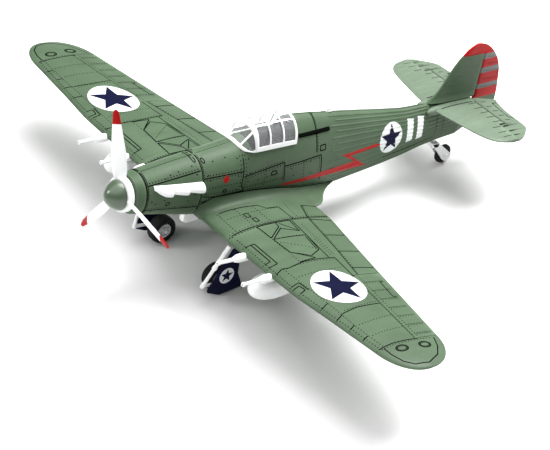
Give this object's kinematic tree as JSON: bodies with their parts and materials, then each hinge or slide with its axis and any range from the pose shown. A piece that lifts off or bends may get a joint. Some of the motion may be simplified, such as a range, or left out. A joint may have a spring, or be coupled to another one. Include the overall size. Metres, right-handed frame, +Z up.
{
  "type": "remote control fighter aeroplane",
  "caption": "Low-wing single-engined fighter model with radio-control surfaces, turning propeller, sliding canopy, fixed tailwheel undercarriage and wing stores.",
  "frame": {"origin": "centre of the bounding box on the ground that the three wheels stand on", "axes": "+X to port along the span, -Y towards the nose, +Z up; the fuselage is pitched nose-up at its ground attitude"},
  "size_m": [0.4, 0.3164, 0.1205],
  "materials": {
    "black_plastic": "matt black",
    "bright_steel": "bright",
    "circuit_green": "circuit board green",
    "clear_canopy": "clear moulding",
    "hub_grey": "satin grey",
    "moulded_green": "semi-matt moulded green",
    "navy_paint": "satin near-black navy",
    "red_paint": "satin red",
    "tyre_rubber": "matt black rubber",
    "white_plastic": "satin white"
  },
  "bodies": {
    "airframe": {"aerial_mast": "white_plastic", "aileron_servo": "black_plastic", "air_scoop": "white_plastic", "battery": "black_plastic", "cannon_left_inner": "white_plastic", "cannon_left_outer": "white_plastic", "cannon_right_inner": "white_plastic", "cannon_right_outer": "white_plastic", "canopy_rail_left": "black_plastic", "canopy_rail_right": "black_plastic", "cockpit_tub": "black_plastic", "cowling": "moulded_green", "drop_tank_left": "white_plastic", "drop_tank_right": "white_plastic", "elevator_servo": "black_plastic", "exhaust_left": "white_plastic", "exhaust_right": "white_plastic", "fin": "moulded_green", "fuselage_left": "moulded_green", "fuselage_right": "moulded_green", "gear_door_left": "navy_paint", "gear_door_right": "navy_paint", "gear_leg_left": "white_plastic", "gear_leg_right": "white_plastic", "headrest": "black_plastic", "instrument_panel": "black_plastic", "motor": "bright_steel", "motor_mount": "black_plastic", "nose_ring": "moulded_green", "pilot_seat": "black_plastic", "radiator_bath": "moulded_green", "receiver_board": "circuit_green", "rudder_servo": "black_plastic", "tailplane": "moulded_green", "windscreen": "white_plastic", "wing_centre_section": "moulded_green", "wing_panel_left": "moulded_green", "wing_panel_right": "moulded_green"},
    "propeller": {"propeller": "white_plastic", "spinner": "moulded_green", "prop_shaft": "bright_steel"},
    "canopy": {"canopy_frame": "white_plastic", "canopy_glass": "clear_canopy"},
    "aileron_left": {"aileron_left": "moulded_green"},
    "aileron_right": {"aileron_right": "moulded_green"},
    "elevators": {"elevator_left": "moulded_green", "elevator_right": "moulded_green", "elevator_joiner": "bright_steel"},
    "rudder": {"rudder": "red_paint"},
    "tail_fork": {"tail_fork": "white_plastic"},
    "tail_wheel": {"tail_tyre": "tyre_rubber", "tail_hub": "hub_grey"},
    "main_wheel_left": {"main_tyre_left": "tyre_rubber", "main_hub_left": "hub_grey"},
    "main_wheel_right": {"main_tyre_right": "tyre_rubber", "main_hub_right": "hub_grey"}
  },
  "joints": [
    {"name": "prop_spin", "type": "hinge", "parent": "airframe", "child": "propeller", "pos_m": [0, -0.14592, 0.07365], "axis": [0, 0.9871, -0.16], "continuous": true},
    {"name": "canopy_slide", "type": "slide", "parent": "airframe", "child": "canopy", "axis": [0, 0.9871, -0.16], "range_m": [0, 0.024]},
    {"name": "aileron_left_hinge", "type": "hinge", "parent": "airframe", "child": "aileron_left", "pos_m": [0.109, -0.05273, 0.04292], "axis": [0.9911, -0.127, 0.0391], "range_deg": [-20, 20]},
    {"name": "aileron_right_hinge", "type": "hinge", "parent": "airframe", "child": "aileron_right", "pos_m": [-0.109, -0.05273, 0.04292], "axis": [0.9911, 0.127, -0.0391], "range_deg": [-20, 20]},
    {"name": "elevator_hinge", "type": "hinge", "parent": "airframe", "child": "elevators", "pos_m": [0, 0.13424, 0.04455], "axis": [1, 0, 0], "range_deg": [-20, 25]},
    {"name": "rudder_hinge", "type": "hinge", "parent": "airframe", "child": "rudder", "pos_m": [0, 0.13522, 0.02809], "axis": [0, 0.16, 0.9871], "range_deg": [-18, 18]},
    {"name": "tail_wheel_steer", "type": "hinge", "parent": "airframe", "child": "tail_fork", "pos_m": [0, 0.1053, 0.01977], "axis": [0, 0.16, 0.9871], "range_deg": [-18, 18]},
    {"name": "tail_wheel_spin", "type": "hinge", "parent": "tail_fork", "child": "tail_wheel", "pos_m": [0, 0.11594, 0.00669], "axis": [1, 0, 0], "continuous": true},
    {"name": "main_wheel_left_spin", "type": "hinge", "parent": "airframe", "child": "main_wheel_left", "pos_m": [0.0289, -0.09325, 0.00919], "axis": [1, 0, 0], "continuous": true},
    {"name": "main_wheel_right_spin", "type": "hinge", "parent": "airframe", "child": "main_wheel_right", "pos_m": [-0.0289, -0.09325, 0.00919], "axis": [1, 0, 0], "continuous": true}
  ],
  "couplings": [
    {"joint": "aileron_right_hinge", "follows": "aileron_left_hinge", "ratio": -1},
    {"joint": "tail_wheel_steer", "follows": "rudder_hinge", "ratio": 1}
  ]
}
